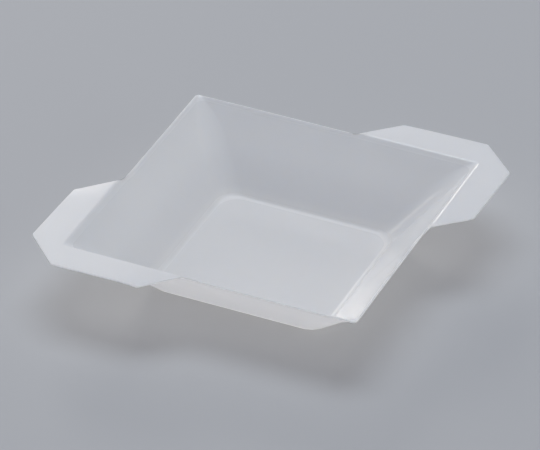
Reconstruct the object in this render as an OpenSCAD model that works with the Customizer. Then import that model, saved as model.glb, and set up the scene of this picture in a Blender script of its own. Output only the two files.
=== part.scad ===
// Weighing boat: one thin formed sheet of plastic with a square floor, four sloping walls,
// two flanges at opposite corners to hold it by, and two free corners to pour from.
// The origin is the middle of the underside of the floor. The flanges point to +X +Y and -X -Y.

/* [Bowl] */
// Width of the mouth, from fold to fold across two flanges
mouth_w = 85; // [70:1:110]
// Width of the floor, where the slopes of opposite walls meet it
floor_w = 50.8; // [38:0.2:60]
// Depth, from the flanges down to the top of the floor
depth = 19.1; // [12:0.1:26]

/* [Sheet] */
// Thickness of the formed sheet
sheet_t = 0.4; // [0.25:0.05:0.6]

/* [Folds] */
// Radius of the fold between the floor and a wall, inside the bowl
floor_fold_r = 2.4; // [0.5:0.1:3]
// Radius of the fold between a wall and a flange, on the top side
rim_fold_r = 1.3; // [0.7:0.1:3]

/* [Corners] */
// Radius in plan of the corner between two walls
corner_r = 5.9; // [2:0.1:9]
// Radius in plan that this corner sharpens to at the mouth
mouth_corner_r = 1.2; // [0.8:0.1:2]
// Share of the wall's rise at which the corner starts to sharpen
sharpening_start = 0.6; // [0.3:0.05:0.9]

/* [Flanges] */
// Width of a flange beside its slanted outer corner
flange_w = 9.8; // [6:0.1:16]
// Width of a flange at its two slanted ends
flange_end_w = 9.2; // [5:0.1:16]
// Distance from the middle of a side to the slanted end of a flange
flange_start = 7.5; // [4:0.1:12]
// Length along a flange's outer edge that the slanted outer corner takes off
flange_corner_cut = 10.8; // [6:0.1:16]
// Radius of the flange's outer corners
flange_corner_r = 1.5; // [0.5:0.1:3]
// Radius of the hollow where a flange runs into the free rim
flange_root_r = 3; // [1:0.1:5]

/* [Free rim] */
// How far the free rim is cut inside the line of the folds
rim_trim = 0.5; // [0.1:0.1:1]
// Radius in plan of the cut round a pouring corner
pour_cut_r = 1.2; // [0.8:0.1:4]

/* [Hidden] */

$fn = 64;
corner_steps = 10;   // flats round a corner between two walls
fold_steps = 5;      // flats round a fold
wall_steps = 6;      // rings up the part of a wall where its corners sharpen
past_cut = 2;        // how far the formed sheet, and the prism that cuts it, run past each other

wall_run = (mouth_w - floor_w) / 2;
wall_pitch = atan(depth / wall_run);
rim_line = mouth_w / 2 - rim_trim;
flange_line = mouth_w / 2 + flange_w;
flange_end_line = mouth_w / 2 + flange_end_w;
floor_top = sheet_t;
flange_top = sheet_t + depth;

// A point of the top side's section is [distance from the middle, height, pitch of the sheet there].
function floor_fold(pitch) =
    let (start = floor_w / 2 - floor_fold_r * tan(wall_pitch / 2))
    [start + floor_fold_r * sin(pitch), floor_top + floor_fold_r * (1 - cos(pitch)), pitch];
function wall(rise) = [floor_w / 2 + rise * wall_run, floor_top + rise * depth, wall_pitch];
function rim_fold(pitch) =
    let (end = mouth_w / 2 + rim_fold_r * tan(wall_pitch / 2))
    [end - rim_fold_r * sin(pitch), flange_top - rim_fold_r * (1 - cos(pitch)), pitch];

// The wall's own rings lie where the corner sharpens. They stop short of the fold at the rim.
wall_end = 1 - rim_fold_r * tan(wall_pitch / 2) * cos(wall_pitch) / wall_run;
section = [
    for (i = [0:fold_steps]) floor_fold(wall_pitch * i / fold_steps),
    for (i = [0:wall_steps - 1]) wall(sharpening_start + (wall_end - sharpening_start) * i / wall_steps),
    for (i = [fold_steps:-1:0]) rim_fold(wall_pitch * i / fold_steps),
    [max(flange_line, flange_end_line) + past_cut, flange_top, 0]
];

// How far a corner has sharpened at a distance from the middle, from 0 at sharpening_start to 1
// at the mouth
function sharpened(out) =
    let (rise = (out - floor_w / 2) / wall_run)
    max(0, min(1, (rise - sharpening_start) / (1 - sharpening_start)));

// One point on the corner that turns from +X to +Y, pushed down through the sheet by `down` along
// the sheet's own normal
function corner_point(at, turn, down) =
    let (out = at[0], pitch = at[2], done = sharpened(out), change = mouth_corner_r - corner_r,
         r = corner_r + change * done * done,
         taper = done < 1 ? 2 * change * done / (1 - sharpening_start) / wall_run : 0,
         side = [cos(turn), sin(turn)],
         spread = (1 - taper) * (side[0] + side[1]) + taper,
         normal = [side[0] * sin(pitch), side[1] * sin(pitch), -spread * cos(pitch)],
         push = down / norm(normal))
    [out - r + r * side[0] + push * normal[0], out - r + r * side[1] + push * normal[1],
     at[1] + push * normal[2]];

function quarter_turn(p, times) = times == 0 ? p : quarter_turn([-p[1], p[0], p[2]], times - 1);

function ring(at, down) = [
    for (corner = [0:3], i = [0:corner_steps])
        quarter_turn(corner_point(at, 90 * i / corner_steps, down), corner)
];

// The sheet as formed, before it is cut out: the top side's rings, then the underside's.
module formed_sheet() {
    rings = len(section);
    around = 4 * (corner_steps + 1);
    under = rings * around;
    last = (rings - 1) * around;
    function next(i) = (i + 1) % around;
    top_side = [for (k = [0:rings - 2], i = [0:around - 1]) let (a = k * around)
        [a + i, a + around + i, a + around + next(i), a + next(i)]];
    underside = [for (face = top_side) [for (i = [3:-1:0]) under + face[i]]];
    border = [for (i = [0:around - 1])
        [last + i, under + last + i, under + last + next(i), last + next(i)]];
    floor_faces = [[for (i = [around - 1:-1:0]) i], [for (i = [0:around - 1]) under + i]];
    polyhedron(
        points = concat([for (at = section) each ring(at, 0)], [for (at = section) each ring(at, sheet_t)]),
        faces = concat(top_side, underside, border, floor_faces)
    );
}

// Half of the cut outline, clockwise from where the +X +Y flange leaves the free rim: [x, y, radius].
half_outline = [
    [flange_start - rim_trim, rim_line, -flange_root_r],
    [flange_start + flange_end_w, flange_end_line, flange_corner_r],
    [flange_line - flange_corner_cut, flange_line, flange_corner_r],
    [flange_line, flange_line - flange_corner_cut, flange_corner_r],
    [flange_end_line, flange_start + flange_end_w, flange_corner_r],
    [rim_line, flange_start - rim_trim, -flange_root_r],
    [rim_line, -rim_line, pour_cut_r]
];
outline = concat(half_outline, [for (p = half_outline) [-p[0], -p[1], p[2]]]);

function unit(v) = v / norm(v);
function corner(i) = [outline[i % len(outline)][0], outline[i % len(outline)][1]];

// The cut outline, with every corner rounded by a true arc. A negative radius hollows the corner.
module cut_outline() {
    count = len(outline);
    difference() {
        union() {
            polygon([for (p = outline) [p[0], p[1]]]);
            for (i = [0:count - 1]) if (outline[i][2] < 0) corner_tip(i);
        }
        for (i = [0:count - 1]) if (outline[i][2] > 0) corner_tip(i);
    }
}

// What lies between a sharp corner of the outline and the arc that rounds it. It reaches past the
// corner, so that it shares no edge with the outline.
module corner_tip(i) {
    at = corner(i);
    back = unit(corner(i + len(outline) - 1) - at);
    on = unit(corner(i + 1) - at);
    r = abs(outline[i][2]);
    half_angle = acos(back * on) / 2;
    middle = at + unit(back + on) * r / sin(half_angle);
    past_corner = 2 * at - middle;
    difference() {
        polygon([past_corner, at + back * r / tan(half_angle), middle, at + on * r / tan(half_angle)]);
        translate(middle) circle(r = r);
    }
}

module boat() {
    color([0.86, 0.88, 0.90])
    intersection() {
        formed_sheet();
        translate([0, 0, -past_cut]) linear_extrude(flange_top + 2 * past_cut) cut_outline();
    }
}

boat();
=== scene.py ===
import bmesh
import bpy
import math
from mathutils import Matrix, Quaternion, Vector


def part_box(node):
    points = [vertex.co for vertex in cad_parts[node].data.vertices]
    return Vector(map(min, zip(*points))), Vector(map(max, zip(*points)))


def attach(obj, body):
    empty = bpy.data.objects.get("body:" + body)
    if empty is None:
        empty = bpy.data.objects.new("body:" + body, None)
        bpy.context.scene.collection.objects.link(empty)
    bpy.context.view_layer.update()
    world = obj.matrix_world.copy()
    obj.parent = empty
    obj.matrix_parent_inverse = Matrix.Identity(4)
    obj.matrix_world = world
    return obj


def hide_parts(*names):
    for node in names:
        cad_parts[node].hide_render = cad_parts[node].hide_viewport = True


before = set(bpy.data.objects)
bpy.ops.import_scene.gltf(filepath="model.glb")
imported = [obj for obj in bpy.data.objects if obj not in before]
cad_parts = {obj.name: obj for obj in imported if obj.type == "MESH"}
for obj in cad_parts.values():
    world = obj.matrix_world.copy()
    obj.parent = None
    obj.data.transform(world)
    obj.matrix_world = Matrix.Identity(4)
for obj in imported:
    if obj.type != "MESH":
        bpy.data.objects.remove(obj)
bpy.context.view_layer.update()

mm = 0.001
tiny = 1e-6    # places closer than this, in metres, are the same place
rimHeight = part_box("boat")[1].z    # the top of the flanges


def deselectAll():
    for thing in bpy.context.selected_objects:
        thing.select_set(False)


def makeActive(piece):
    deselectAll()
    piece.select_set(True)
    bpy.context.view_layer.objects.active = piece


def startDrawing(name):    # an empty mesh, open for editing
    deselectAll()
    bpy.ops.object.add(type="MESH", enter_editmode=True, location=(0, 0, 0))
    piece = bpy.context.object
    piece.name = name
    piece.data.name = name
    return piece


def finishDrawing():    # every face turned outwards, and the mesh closed for editing
    bpy.ops.mesh.select_all(action="SELECT")
    bpy.ops.mesh.normals_make_consistent(inside=False)
    bpy.ops.object.mode_set(mode="OBJECT")


def middleOf(part):
    if hasattr(part, "co"):
        return part.co.copy()
    return sum((v.co for v in part.verts), Vector()) / len(part.verts)


def pick(piece, kind, test):    # selects what passes the test, by its place, and nothing else
    bpy.ops.mesh.select_all(action="DESELECT")
    bpy.ops.mesh.select_mode(type=kind)
    drawn = bmesh.from_edit_mesh(piece.data)
    parts = {"VERT": drawn.verts, "EDGE": drawn.edges, "FACE": drawn.faces}[kind]
    for part in parts:
        if test(part, middleOf(part)):
            part.select_set(True)
    drawn.select_flush_mode()
    bmesh.update_edit_mesh(piece.data)


def applyModifier(piece, kind, **settings):
    makeActive(piece)
    bpy.ops.object.modifier_add(type=kind)
    modifier = piece.modifiers[-1]
    for name, value in settings.items():
        setattr(modifier, name, value)
    bpy.ops.object.modifier_apply(modifier=modifier.name)


boat = {
    "mouthWidth": 85 * mm,
    "floorWidth": 50.8 * mm,
    "sheet": 0.4 * mm,
    "floorFoldRadius": 2.4 * mm,
    "rimFoldRadius": 1.3 * mm,
    "cornerRadius": 5.9 * mm,            # in plan, between two walls
    "mouthCornerRadius": 1.2 * mm,       # what it sharpens to at the mouth
    "sharpeningStart": 0.6,              # share of the wall's rise where that starts
    "cornerSegments": 12,
    "foldSegments": 6,
    "lowRings": 5,                       # up a wall, below where its corners start to sharpen
    "highRings": 9,                      # and above that
    "sideCuts": 31,                      # along each straight side
    "floorBorder": 1.5 * mm,             # a row of faces on the floor, beside its fold
    "flatSteps": (1.2 * mm, 14 * mm),    # rows of the flat border that the flanges are cut from
    "flangeWidth": 9.8 * mm,
    "flangeEndWidth": 9.2 * mm,
    "flangeStart": 7.5 * mm,
    "flangeCornerCut": 10.8 * mm,
    "flangeCornerRadius": 1.5 * mm,
    "flangeRootRadius": 3 * mm,
    "rimTrim": 0.5 * mm,
    "pourCutRadius": 1.2 * mm,
    "arcSegments": 8,                    # round each corner of the outline
    "diePast": 5 * mm,                   # how far the cutting die reaches past the sheet, below and above
    "backRim": (0.6 * mm, 0.25 * mm),    # how far in and down the free rims stand from the flanges' fold
    "frontRim": (1.0 * mm, 0.8 * mm),
    "leftRim": (1.0 * mm, 0.5 * mm),
    "rightRim": (0.8 * mm, 0.4 * mm),
    "rimEase": 5 * mm,                   # the length beside a flange over which that grows
    "cornerEase": 20 * mm,               # the length beside a corner over which one rim turns into the next
    "sliver": 0.06 * mm,                 # edges shorter than this, left by the cut, are closed up
    "edgeBreak": 0.1 * mm,               # how much the cut edges are worn round
    "edgeSegments": 2,
    "edgeAngle": 35,                     # degrees, past which an edge is a cut edge and not a fold
    "smoothAngle": 30,                   # degrees, up to which faces are shaded as one surface
    "normalWeight": 80,                  # of 100; above 50, large faces count for more in that shading
}

floorTop = boat["sheet"]
wallRun = (boat["mouthWidth"] - boat["floorWidth"]) / 2
wallRise = rimHeight - floorTop
wallPitch = math.atan2(wallRise, wallRun)
halfFloor = boat["floorWidth"] / 2
halfMouth = boat["mouthWidth"] / 2
foldTangent = math.tan(wallPitch / 2)


def clamped(share):
    return min(1, max(0, share))


def eased(share):    # from 0 to 1, level at both ends
    return share ** 2 * (3 - 2 * share)


def cornerRadiusAt(out):
    rise = (out - halfFloor) / wallRun
    start = boat["sharpeningStart"]
    done = clamped((rise - start) / (1 - start))
    return boat["cornerRadius"] + (boat["mouthCornerRadius"] - boat["cornerRadius"]) * done ** 2


def sheetSection():    # (distance from the middle, height) up the inside of the bowl
    floorR, rimR = boat["floorFoldRadius"], boat["rimFoldRadius"]
    steps = boat["foldSegments"]
    foldStart = halfFloor - floorR * foldTangent
    foldEnd = halfMouth + rimR * foldTangent
    section = []
    for i in range(steps + 1):
        pitch = wallPitch * i / steps
        section.append((foldStart + floorR * math.sin(pitch), floorTop + floorR * (1 - math.cos(pitch))))
    low = (section[-1][0] - halfFloor) / wallRun
    high = 1 - rimR * foldTangent * math.cos(wallPitch) / wallRun
    lowRings, highRings = boat["lowRings"], boat["highRings"]
    start = boat["sharpeningStart"]
    rises = [low + (start - low) * i / lowRings for i in range(1, lowRings)]
    rises += [start + (high - start) * i / highRings for i in range(highRings)]
    section += [(halfFloor + rise * wallRun, floorTop + rise * wallRise) for rise in rises]
    for i in range(steps, -1, -1):
        pitch = wallPitch * i / steps
        section.append((foldEnd - rimR * math.sin(pitch), rimHeight - rimR * (1 - math.cos(pitch))))
    return section


def drawRing(piece, out, height):    # a square with round corners, as edges only
    def onSide(edge, at):
        return abs(at.z - height) < tiny and edge.calc_length() > out

    bpy.ops.mesh.primitive_plane_add(size=2 * out, location=(0, 0, height))
    bpy.ops.mesh.bevel(offset=cornerRadiusAt(out), segments=boat["cornerSegments"],
                       affect="VERTICES", clamp_overlap=False)
    bpy.ops.mesh.delete(type="ONLY_FACE")
    pick(piece, "EDGE", onSide)
    bpy.ops.mesh.subdivide(number_cuts=boat["sideCuts"])


def bridgeRings(piece, low, high):
    def onRing(edge, at):
        return any(all(abs(v.co.z - height) < tiny for v in edge.verts) for height in (low, high))

    pick(piece, "EDGE", onRing)
    bpy.ops.mesh.bridge_edge_loops()


def easeFreeRims(piece):    # where no flange stiffens it, the sheet's fold stands in and down a little
    flangeLine = halfMouth - boat["flangeStart"]
    drawn = bmesh.from_edit_mesh(piece.data)
    for vert in drawn.verts:
        x, y, z = vert.co
        out = max(abs(x), abs(y))
        rise = clamped((out - halfFloor) / wallRun)
        past = clamped((abs(x - y) - flangeLine) / boat["rimEase"])
        amount = rise ** 2 * eased(past)
        if amount > 0:
            acrossIn, acrossDown = boat["leftRim"] if x < 0 else boat["rightRim"]
            alongIn, alongDown = boat["frontRim"] if y < 0 else boat["backRim"]
            share = clamped(0.5 + (abs(x) - abs(y)) / (2 * boat["cornerEase"]))
            down = acrossDown * share + alongDown * (1 - share)
            acrossShare, alongShare = amount * acrossIn / out, amount * alongIn / out
            vert.co = (x * (1 - acrossShare), y * (1 - alongShare), z - amount * down)
    bmesh.update_edit_mesh(piece.data)


def formSheet():
    piece = startDrawing("weighing_boat")
    section = sheetSection()
    for out, height in section:
        drawRing(piece, out, height)
    for (_, low), (_, high) in zip(section, section[1:]):
        bridgeRings(piece, low, high)
    # the floor, with a narrow border beside its fold
    pick(piece, "EDGE", lambda edge, at: all(abs(v.co.z - floorTop) < tiny for v in edge.verts))
    bpy.ops.mesh.edge_face_add()
    bpy.ops.mesh.inset(thickness=boat["floorBorder"])
    # the flat border that the flanges are cut from
    lastOut = section[-1][0]
    for step in boat["flatSteps"]:
        pick(piece, "EDGE", lambda edge, at: edge.is_boundary)
        bpy.ops.mesh.extrude_edges_move()
        scale = (lastOut + step) / lastOut
        bpy.ops.transform.resize(value=(scale, scale, 1))
        lastOut += step
    easeFreeRims(piece)
    finishDrawing()
    print("sheet formed")
    return piece


def runsStraight(vert, limit):    # true where a vertex lies in the middle of a straight edge
    first, second = (edge.other_vert(vert).co - vert.co for edge in vert.link_edges)
    return math.pi - first.angle(second) < limit


def makeDie():    # the die that cuts the sheet out, as a tall prism
    die = startDrawing("cutting_die")
    rimLine = halfMouth - boat["rimTrim"]
    outerLine = halfMouth + boat["flangeWidth"]
    endLine = halfMouth + boat["flangeEndWidth"]
    # where a flange leaves the free rim, where its slanted end stops, and where its slanted corner starts
    root = (boat["flangeStart"] - boat["rimTrim"], rimLine)
    end = (boat["flangeStart"] + boat["flangeEndWidth"], endLine)
    shoulder = (outerLine - boat["flangeCornerCut"], outerLine)
    base = -boat["diePast"]
    bpy.ops.mesh.primitive_plane_add(size=2 * outerLine, location=(0, 0, base))

    def cutLine(x, y, across, clear=False):    # a straight cut through a point, clearing what lies past it
        bpy.ops.mesh.select_all(action="SELECT")
        bpy.ops.mesh.bisect(plane_co=(x, y, base), plane_no=across, clear_outer=clear, threshold=tiny)

    for side in (1, -1):
        cutLine(side * rimLine, 0, (1, 0, 0))
        cutLine(0, side * rimLine, (0, 1, 0))
        cutLine(side * root[0], side * root[1], (1, -1, 0))
        cutLine(side * shoulder[0], side * shoulder[1], (side, side, 0), clear=True)
        taper = (end[1] - shoulder[1], shoulder[0] - end[0])    # across the slightly slanted outer edge
        cutLine(side * end[0], side * end[1], (side * taper[0], side * taper[1], 0), clear=True)
        cutLine(side * end[1], side * end[0], (side * taper[1], side * taper[0], 0), clear=True)
    slant = root[1] - root[0]

    def offcut(face, at):
        inBowl = abs(at.x) < rimLine and abs(at.y) < rimLine
        return not inBowl and abs(at.x - at.y) > slant

    pick(die, "FACE", offcut)
    bpy.ops.mesh.delete(type="FACE")
    bpy.ops.mesh.select_all(action="SELECT")
    bpy.ops.mesh.dissolve_faces()
    straight = math.radians(0.3)    # a smaller turn than this is no corner
    pick(die, "VERT", lambda vert, at: len(vert.link_edges) == 2 and runsStraight(vert, straight))
    bpy.ops.mesh.dissolve_verts()

    near = 0.1 * mm    # a corner lies this close to the place it was worked out for

    def roundOff(places, offset):
        def isCorner(vert, at):
            return any(math.hypot(at.x - x, at.y - y) < near for x, y in places)

        pick(die, "VERT", isCorner)
        bpy.ops.mesh.bevel(offset=offset, segments=boat["arcSegments"],
                           affect="VERTICES", clamp_overlap=False)

    def bothFlanges(x, y):
        return [(x, y), (y, x), (-x, -y), (-y, -x)]

    # where two sides turn by 45 degrees, their arc starts this share of its radius from the corner
    reach = math.tan(math.radians(45 / 2))
    roundOff([(rimLine, -rimLine), (-rimLine, rimLine)], boat["pourCutRadius"])
    roundOff(bothFlanges(*root), boat["flangeRootRadius"] * reach)
    roundOff(bothFlanges(*end), boat["flangeCornerRadius"] * reach)
    roundOff(bothFlanges(*shoulder), boat["flangeCornerRadius"] * reach)
    bpy.ops.mesh.select_all(action="SELECT")
    tall = rimHeight + 2 * boat["diePast"]
    bpy.ops.mesh.extrude_region_move(TRANSFORM_OT_translate={"value": (0, 0, tall)})
    finishDrawing()
    return die


def makeBoat():
    piece = formSheet()
    applyModifier(piece, "SOLIDIFY", thickness=boat["sheet"], offset=-1, use_even_offset=True)
    die = makeDie()
    applyModifier(piece, "BOOLEAN", operation="INTERSECT", solver="EXACT", object=die)
    bpy.data.objects.remove(die)
    print("sheet cut out")
    applyModifier(piece, "WELD", merge_threshold=boat["sliver"])
    applyModifier(piece, "BEVEL", width=boat["edgeBreak"], segments=boat["edgeSegments"],
                  limit_method="ANGLE", angle_limit=math.radians(boat["edgeAngle"]), use_clamp_overlap=False)
    makeActive(piece)
    bpy.ops.object.shade_smooth_by_angle(angle=math.radians(boat["smoothAngle"]))
    applyModifier(piece, "WEIGHTED_NORMAL", keep_sharp=True, weight=boat["normalWeight"])
    return piece


# sockets of the Mix node, which go by number because their names repeat
numberA, numberB, colourA, colourB, colourOut = 2, 3, 6, 7, 2


def newMaterial(name):
    material = bpy.data.materials.new(name)
    material.use_nodes = True
    nodes = material.node_tree.nodes
    return material, nodes, material.node_tree.links, nodes["Principled BSDF"]


def setSockets(node, values):
    for socket, value in values.items():
        node.inputs[socket].default_value = value


def addNode(nodes, kind, sockets=None, **settings):
    node = nodes.new(kind)
    for name, setting in settings.items():
        setattr(node, name, setting)
    setSockets(node, sockets or {})
    return node


plastic = {
    "clearer": (0.90, 0.905, 0.915, 1),       # colour by reflected light, where the sheet is clearer
    "cloudier": (0.94, 0.945, 0.95, 1),       # and where it is cloudier
    "cloudScale": 60.0,
    "cloudDetail": 3.0,
    "lowWallShadeAndThin": (0.84, 0.85, 0.87, 1),       # and low on the walls: painted shade for the shadowed table seen through the sheet there, and partly the sheet's own thinning where forming stretched it
    "shadeAndThinStart": 1.2 * mm,                      # heights where that starts, is most and stops
    "shadeAndThinMost": 3.5 * mm,
    "shadeAndThinEnd": 13 * mm,
    "smooth": 0.15,                           # roughness of the floor and the walls
    "floorHazy": 0.44,                        # of the fold round the floor
    "floorHazyLow": 0.42 * mm,                # heights between which that fold lies
    "floorHazyHigh": 1.8 * mm,
    "rimHazy": 0.3,                           # and of the flanges and the fold beside them
    "rimHazyLow": 17.6 * mm,                  # heights between which it goes over to that
    "rimHazyHigh": 18.4 * mm,
    "grainScale": 2600.0,
    "grainDepth": 0.006 * mm,
    "grainStrength": 0.3,
    "refraction": 1.55,
    "gloss": 0.95,
    "milky": 1.0,                             # share of its reflected light that is scattered inside it
    "scatter": 1.5 * mm,                      # how far that spreads
    "scatterByColour": (1.0, 0.9, 0.8),       # for red, green and blue, as a share of that
    "through": 0.35,                          # how much of what the sheet shows comes from behind it
    "throughColour": (0.95, 0.958, 0.968, 1),
    "shadow": (0.66, 0.635, 0.61, 1),         # share of a lamp's light that each face lets through
}


def cloudsAndLowShade(nodes, links, place, height):    # cloudier in places, and darker low on the walls: painted shade there, with the sheet's own thinning
    clouds = addNode(nodes, "ShaderNodeTexNoise",
                     {"Scale": plastic["cloudScale"], "Detail": plastic["cloudDetail"]})
    tint = addNode(nodes, "ShaderNodeMix", data_type="RGBA")
    setSockets(tint, {colourA: plastic["clearer"], colourB: plastic["cloudier"]})
    links.new(place, clouds.inputs["Vector"])
    links.new(clouds.outputs["Fac"], tint.inputs[0])
    rise = addNode(nodes, "ShaderNodeMapRange", {"From Max": rimHeight})
    shadeAndStretch = addNode(nodes, "ShaderNodeFloatCurve")
    curve = shadeAndStretch.mapping.curves[0]
    curve.points[0].location = (0, 0)
    curve.points[1].location = (1, 0)
    for at, amount in (("shadeAndThinStart", 0), ("shadeAndThinMost", 1), ("shadeAndThinEnd", 0)):
        curve.points.new(plastic[at] / rimHeight, amount)
    shadeAndStretch.mapping.update()
    # painted shade: darker low on the walls, where the shadowed table shows through the thinned sheet
    shadedAndThinned = addNode(nodes, "ShaderNodeMix", data_type="RGBA")
    setSockets(shadedAndThinned, {colourB: plastic["lowWallShadeAndThin"]})
    links.new(height, rise.inputs["Value"])
    links.new(rise.outputs[0], shadeAndStretch.inputs["Value"])
    links.new(shadeAndStretch.outputs[0], shadedAndThinned.inputs[0])
    links.new(tint.outputs[colourOut], shadedAndThinned.inputs[colourA])
    return shadedAndThinned.outputs[colourOut]


def foldHaze(nodes, links, height):    # roughness: smooth, and hazier along the folds and on the flanges
    rim = addNode(nodes, "ShaderNodeMapRange", interpolation_type="SMOOTHSTEP")
    setSockets(rim, {"From Min": plastic["rimHazyLow"], "From Max": plastic["rimHazyHigh"],
                     "To Min": plastic["smooth"], "To Max": plastic["rimHazy"]})
    fold = addNode(nodes, "ShaderNodeMapRange", interpolation_type="SMOOTHSTEP")
    setSockets(fold, {"From Min": plastic["floorHazyLow"], "From Max": plastic["floorHazyHigh"],
                      "To Min": plastic["floorHazy"]})
    onFloor = addNode(nodes, "ShaderNodeMath", {1: plastic["floorHazyLow"]}, operation="LESS_THAN")
    finish = addNode(nodes, "ShaderNodeMix", data_type="FLOAT")
    setSockets(finish, {numberB: plastic["smooth"]})
    links.new(height, rim.inputs["Value"])
    links.new(height, fold.inputs["Value"])
    links.new(height, onFloor.inputs[0])
    links.new(rim.outputs[0], fold.inputs["To Max"])
    links.new(onFloor.outputs[0], finish.inputs[0])
    links.new(fold.outputs[0], finish.inputs[numberA])
    return finish.outputs[0]


def satinGrain(nodes, links, place):    # the fine grain of the formed surface
    grain = addNode(nodes, "ShaderNodeTexNoise", {"Scale": plastic["grainScale"]})
    bump = addNode(nodes, "ShaderNodeBump",
                   {"Strength": plastic["grainStrength"], "Distance": plastic["grainDepth"]})
    links.new(place, grain.inputs["Vector"])
    links.new(grain.outputs["Fac"], bump.inputs["Height"])
    return bump.outputs["Normal"]


def lightThrough(nodes, links, surface):    # light from behind, spread by the sheet, and a pale shadow
    behind = addNode(nodes, "ShaderNodeBsdfTranslucent", {"Color": plastic["throughColour"]})
    sheet = addNode(nodes, "ShaderNodeMixShader", {"Fac": plastic["through"]})
    links.new(surface, sheet.inputs[1])
    links.new(behind.outputs[0], sheet.inputs[2])
    path = addNode(nodes, "ShaderNodeLightPath")
    straight = addNode(nodes, "ShaderNodeBsdfTransparent", {"Color": plastic["shadow"]})
    shown = addNode(nodes, "ShaderNodeMixShader")
    links.new(path.outputs["Is Shadow Ray"], shown.inputs[0])
    links.new(sheet.outputs[0], shown.inputs[1])
    links.new(straight.outputs[0], shown.inputs[2])
    return shown.outputs[0]


def milkySheet():
    material, nodes, links, shader = newMaterial("milkySheet")
    setSockets(shader, {
        "IOR": plastic["refraction"],
        "Specular IOR Level": plastic["gloss"],
        "Subsurface Weight": plastic["milky"],
        "Subsurface Radius": plastic["scatterByColour"],
        "Subsurface Scale": plastic["scatter"],
    })
    place = addNode(nodes, "ShaderNodeTexCoord").outputs["Object"]
    split = addNode(nodes, "ShaderNodeSeparateXYZ")
    links.new(place, split.inputs[0])
    height = split.outputs["Z"]
    links.new(cloudsAndLowShade(nodes, links, place, height), shader.inputs["Base Color"])
    links.new(foldHaze(nodes, links, height), shader.inputs["Roughness"])
    links.new(satinGrain(nodes, links, place), shader.inputs["Normal"])
    shown = lightThrough(nodes, links, shader.outputs[0])
    links.new(shown, nodes["Material Output"].inputs["Surface"])
    return material


piece = makeBoat()
piece.data.materials.clear()
piece.data.materials.append(milkySheet())
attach(piece, "root")
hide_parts("boat")
print("boat made,", len(piece.data.polygons), "faces")

table = {
    "size": 4.0,
    "drop": 0.05 * mm,    # how far its top lies below the boat
    "colour": (0.52, 0.527, 0.538, 1),
    "roughness": 0.6,
    "gloss": 0.3,
}


def tableTop():
    material, _, _, shader = newMaterial("tableTop")
    setSockets(shader, {
        "Base Color": table["colour"],
        "Roughness": table["roughness"],
        "Specular IOR Level": table["gloss"],
    })
    return material


def makeTable():
    deselectAll()
    bpy.ops.mesh.primitive_plane_add(size=table["size"], location=(0, 0, 0))
    top = bpy.context.object
    top.name = "table_top"
    top.data.transform(Matrix.Translation((0, 0, -table["drop"])))
    top.data.materials.append(tableTop())


makeTable()
print("table made")

lamps = {    # name: (degrees round from the back towards +X, degrees up, width, height, strength, colour)
    "overhead_softbox": (-30, 72, 2.6, 1.6, 0.487, (0.955, 0.975, 1.0)),
    "low_softbox": (-34.4, 22.1, 0.7, 0.7, 0.153, (1.0, 0.935, 0.865)),
    "left_fill": (-90, 20, 1.6, 1.6, 0.130, (1.0, 0.91, 0.79)),
    "right_fill": (105, 20, 1.6, 1.6, 0.0945, (0.945, 1.0, 0.93)),
}
lampDistance = 3.0


def softbox(name, around, up, width, height, strength, colour):    # strength 1 lights white to full white
    around, up = math.radians(around), math.radians(up)
    toward = Vector((math.sin(around) * math.cos(up), math.cos(around) * math.cos(up), math.sin(up)))
    bpy.ops.object.light_add(type="AREA", location=toward * lampDistance)
    lamp = bpy.context.object
    lamp.name = name
    lamp.rotation_euler = toward.to_track_quat("Z", "Y").to_euler()
    lamp.data.shape = "ELLIPSE"
    lamp.data.size = width
    lamp.data.size_y = height
    lamp.data.energy = strength * (math.pi * lampDistance) ** 2
    lamp.data.color = colour


for name, settings in lamps.items():
    softbox(name, *settings)
print("lamps made")

studio = {
    "light": (0.665, 0.755, 1.0, 1),       # weak light from all round
    "strength": 0.222,
    "backdrop": (0.43, 0.44, 0.455, 1),    # what is seen past the table, and in glossy surfaces
}


def makeStudio():
    world = bpy.data.worlds.new("studio")
    bpy.context.scene.world = world
    world.use_nodes = True
    nodes, links = world.node_tree.nodes, world.node_tree.links
    light = nodes["Background"]
    setSockets(light, {"Color": studio["light"], "Strength": studio["strength"]})
    backdrop = addNode(nodes, "ShaderNodeBackground", {"Color": studio["backdrop"]})
    path = addNode(nodes, "ShaderNodeLightPath")
    seen = addNode(nodes, "ShaderNodeMath", operation="MAXIMUM")
    shown = addNode(nodes, "ShaderNodeMixShader")
    links.new(path.outputs["Is Camera Ray"], seen.inputs[0])
    links.new(path.outputs["Is Glossy Ray"], seen.inputs[1])
    links.new(seen.outputs[0], shown.inputs[0])
    links.new(light.outputs[0], shown.inputs[1])
    links.new(backdrop.outputs[0], shown.inputs[2])
    links.new(shown.outputs[0], nodes["World Output"].inputs["Surface"])


makeStudio()
print("studio made")

view = {
    "azimuth": 23.05,      # degrees round from the front towards +X
    "elevation": 33.62,
    "roll": 1.33,
    "distance": 1.3896,
    "lens": 342.8,         # in millimetres, as the sensor's width is
    "sensor": 36,
    "aim": (0.5 * mm, -3.37 * mm, 14.55 * mm),
}


def makeCamera():
    azimuth, elevation = math.radians(view["azimuth"]), math.radians(view["elevation"])
    level = math.cos(elevation)
    back = Vector((math.sin(azimuth) * level, -math.cos(azimuth) * level, math.sin(elevation)))
    bpy.ops.object.camera_add(location=Vector(view["aim"]) + back * view["distance"])
    camera = bpy.context.object
    camera.name = "camera"
    roll = Quaternion((0, 0, 1), math.radians(view["roll"]))
    camera.rotation_euler = (back.to_track_quat("Z", "Y") @ roll).to_euler()
    camera.data.lens = view["lens"]
    camera.data.sensor_width = view["sensor"]
    bpy.context.scene.camera = camera


makeCamera()
bpy.context.scene.view_settings.view_transform = "Standard"
print("camera set")
